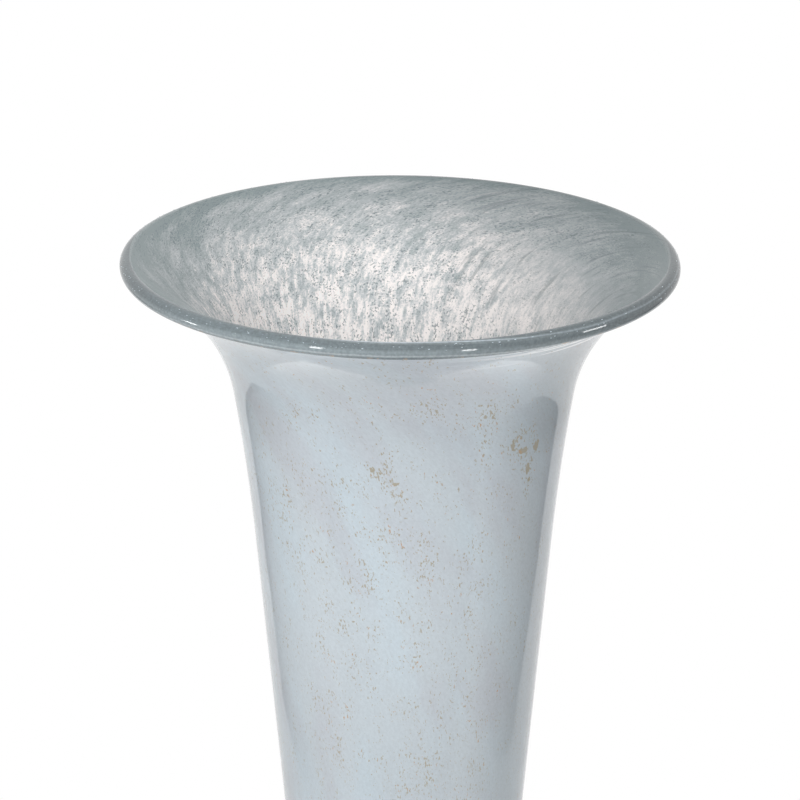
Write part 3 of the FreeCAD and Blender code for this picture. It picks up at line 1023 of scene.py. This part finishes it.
class VASE_OT_stage(bpy.types.Operator):
    """Builds the floor, the reflected studio, the lamps and the camera."""

    bl_idname = "vase.stage"
    bl_label = "Studio And Camera"

    def execute(self, context):
        self.floor(context)
        self.reflected_studio(context)
        self.world(context)
        self.lamps(context)
        self.camera(context)
        context.scene.view_settings.view_transform = "Standard"
        return {"FINISHED"}

    def put(self, context, name, corners, material):
        """A flat stage piece with those corners, in millimetres."""
        mesh = bpy.data.meshes.new(name)
        places = [tuple(measure * MM for measure in corner) for corner in corners]
        mesh.from_pydata(places, [], [tuple(range(len(corners)))])
        mesh.materials.append(material)
        thing = bpy.data.objects.new(name, mesh)
        context.scene.collection.objects.link(thing)
        return thing

    def level_card(self, front, back, side, height):
        """The corners of a level card as wide to either side, in millimetres."""
        return (-side, front, height), (side, front, height), (side, back, height), (-side, back, height)

    def rays(self, add):
        """What tells the kinds of ray apart, and 1 for a ray that was mirrored or bent."""
        path = add("ShaderNodeLightPath").outputs
        mirrored = add(MATH, [path["Is Glossy Ray"], path["Is Transmission Ray"]], operation="MAXIMUM")
        return path, mirrored

    def floor(self, context):
        """A pale floor. It keeps the vase's shadow, and is plain white away from it and in reflections."""
        material, tree, add = new_material("pale_floor")
        path, mirrored = self.rays(add)
        seen_far = amount(path["Is Camera Ray"], (Spot(tree).radius, SHADE_ENDS, PLAIN_FROM))
        plain = add(MATH, [seen_far, mirrored], operation="MAXIMUM")
        paper = add("ShaderNodeBsdfDiffuse", {"Color": (*linear("#f4f5f6"), 1)})
        white = add("ShaderNodeEmission", {"Color": (*WHITE, 1), "Strength": 1.0})
        mixed = add("ShaderNodeMixShader", [plain, paper, white])
        # Painted bounce light: to diffuse rays the floor also glows, as a lit floor would send light back up.
        glow = add("ShaderNodeEmission", {
            "Color": (*WHITE, 1), "Strength": amount(path["Is Diffuse Ray"], FLOOR_GLOW)})
        both = add("ShaderNodeAddShader", [mixed, glow])
        add("ShaderNodeOutputMaterial", {"Surface": both})
        self.put(context, "floor", self.level_card(-FLOOR_REACH, FLOOR_REACH, FLOOR_REACH, 0), material)

    def reflected_studio(self, context):
        """Two grey flags beside the vase, the grey room before the table, and the lit table itself.

        Each flag is darkest at its back edge, where it ends sharply against the white backdrop, and
        pales towards the front. The table is brightest behind the vase. Only reflections see these cards.
        """
        for name, darkest_at, brightest_at, corners in (
            ("flag_left", (560, 0.28), (-120, 1.0), (
                (-560, 575, 400), (-560, 575, 90), (-560, 505, 70), (-560, 467, 0), (-560, -250, 0),
                (-560, -250, 400))),
            ("flag_right", (480, 0.25), (-450, 1.0), (
                (600, 490, 400), (600, 490, 130), (600, 460, 105), (600, 402, 83), (600, 289, 26),
                (600, 250, 0), (600, -450, 0), (600, -450, 400))),
            ("grey_room", (0, 0.62), (-1, 0.62), (
                (-4000, TABLE_EDGE, 1), (4000, TABLE_EDGE, 1), (4000, -4000, 1), (-4000, -4000, 1))),
        ):
            material, tree, add = new_material(name)
            shade = add("ShaderNodeMapRange", {
                "Value": Spot(tree).behind, "From Min": darkest_at[0] * MM, "From Max": brightest_at[0] * MM,
                "To Min": darkest_at[1], "To Max": brightest_at[1]})
            self.mirrored_card(context, name, corners, material, shade)
        material, tree, add = new_material("lit_table")
        spot = Spot(tree)
        extra = amount(
            (spot.behind, -400 * MM, 300 * MM, 0.05, 0.7), (spot.to_a_side, 250 * MM, 500 * MM, 1.0, 0.0))
        self.mirrored_card(context, "lit_table", (
            (-500, TABLE_EDGE, 1), (500, TABLE_EDGE, 1), (500, 300, 1), (-500, 300, 1)),
            material, add(MATH, [extra, 1.0]))

    def mirrored_card(self, context, name, corners, material, strength):
        """A card that glows white at that strength and shows in reflections only."""
        tree = strength.id_data
        glow = add_node(tree, "ShaderNodeEmission", {"Color": (*WHITE, 1), "Strength": strength})
        add_node(tree, "ShaderNodeOutputMaterial", {"Surface": glow})
        card = self.put(context, name, corners, material)
        for rays in ("camera", "diffuse", "transmission", "shadow"):
            setattr(card, "visible_" + rays, False)

    def world(self, context):
        """White all round to the eye and in the glass, and a softer grey as a source of light."""
        world = bpy.data.worlds.new("studio")
        context.scene.world = world
        world.use_nodes = True
        world.node_tree.nodes.clear()
        add = functools.partial(add_node, world.node_tree)
        path, mirrored = self.rays(add)
        seen = add(MATH, [path["Is Camera Ray"], mirrored], operation="MAXIMUM")
        soft = add("ShaderNodeBackground", {"Color": (*WHITE, 1), "Strength": ROOM_LIGHT})
        white = add("ShaderNodeBackground", {"Color": (*WHITE, 1), "Strength": 1.0})
        mixed = add("ShaderNodeMixShader", [seen, soft, white])
        add("ShaderNodeOutputWorld", {"Surface": mixed})

    def lamps(self, context):
        """A broad soft key from the front left, three fills, and small lamps that only glint on the lip.

        Each lamp has its azimuth and elevation in degrees, its distance, width and height in metres and
        its power in watts. All of them look at the middle of the part that the photograph shows.
        """
        for name, azimuth, elevation, distance, width, tall, power, glints in (
            ("key", -115, 40, 2.6, 1.0, 1.0, 29.5, False),
            ("front_fill", -90, 40, 2.6, 1.0, 1.0, 12, False),
            ("high_fill", -90, 62, 2.6, 1.0, 1.0, 20.5, False),
            ("back_fill", 90, 40, 2.6, 1.0, 1.0, 8, False),
            ("glint_left", 180, -10, 2.4, 0.3, 0.4, 6, True),
            ("glint_front_left", -122, 5, 2.4, 0.22, 0.8, 8, True),
            ("glint_front_right", -63.5, 3, 2.4, 0.24, 0.8, 8, True),
            ("glint_right", -9, 3, 2.4, 0.5, 0.5, 9, True),
        ):
            light = bpy.data.lights.new(name, "AREA")
            light.shape = "RECTANGLE"
            light.size = width
            light.size_y = tall
            light.energy = power
            lamp = bpy.data.objects.new(name, light)
            context.scene.collection.objects.link(lamp)
            turn = math.radians(azimuth)
            tilt = math.radians(elevation)
            way = Vector((math.cos(tilt) * math.cos(turn), math.cos(tilt) * math.sin(turn), math.sin(tilt)))
            lamp.location = LAMP_TARGET + way * distance
            lamp.rotation_euler = way.to_track_quat("Z", "Y").to_euler()
            lamp.visible_glossy = glints
            lamp.visible_diffuse = not glints
            lamp.visible_transmission = not glints

    def camera(self, context):
        """The photograph's view: from the front, above the rim, with a long lens."""
        camera = bpy.data.cameras.new("camera")
        camera.lens = CAMERA_LENS
        camera.sensor_width = 36
        camera.clip_end = 100
        viewer = bpy.data.objects.new("camera", camera)
        viewer.location = CAMERA_PLACE
        viewer.rotation_euler = (math.pi / 2 - CAMERA_TILT, 0, 0)
        context.scene.collection.objects.link(viewer)
        context.scene.camera = viewer


class VASE_PT_panel(bpy.types.Panel):
    """Lists the vase's sizes, colours and operators."""

    bl_idname = "VASE_PT_panel"
    bl_label = "Trumpet Vase"
    bl_space_type = "VIEW_3D"
    bl_region_type = "UI"
    bl_category = "Vase"

    def draw(self, context):
        for group in (context.scene.vase_sizes, context.scene.vase_colours):
            box = self.layout.box()
            for name in group.__annotations__:
                box.prop(group, name)
        for operator in OPERATORS:
            self.layout.operator(operator.bl_idname)


OPERATORS = (VASE_OT_wall, VASE_OT_coats, VASE_OT_lip, VASE_OT_foot, VASE_OT_pads, VASE_OT_stage)
CLASSES = (VaseSizes, VaseColours, *OPERATORS, VASE_PT_panel)


def register():
    for cls in CLASSES:
        bpy.utils.register_class(cls)
    bpy.types.Scene.vase_sizes = bpy.props.PointerProperty(type=VaseSizes)
    bpy.types.Scene.vase_colours = bpy.props.PointerProperty(type=VaseColours)


def unregister():
    del bpy.types.Scene.vase_colours
    del bpy.types.Scene.vase_sizes
    for cls in reversed(CLASSES):
        bpy.utils.unregister_class(cls)


def main():
    register()
    bpy.ops.vase.wall()
    bpy.ops.vase.coats()
    bpy.ops.vase.lip()
    bpy.ops.vase.foot()
    bpy.ops.vase.pads()
    bpy.ops.vase.stage()


if __name__ == "__main__":
    main()
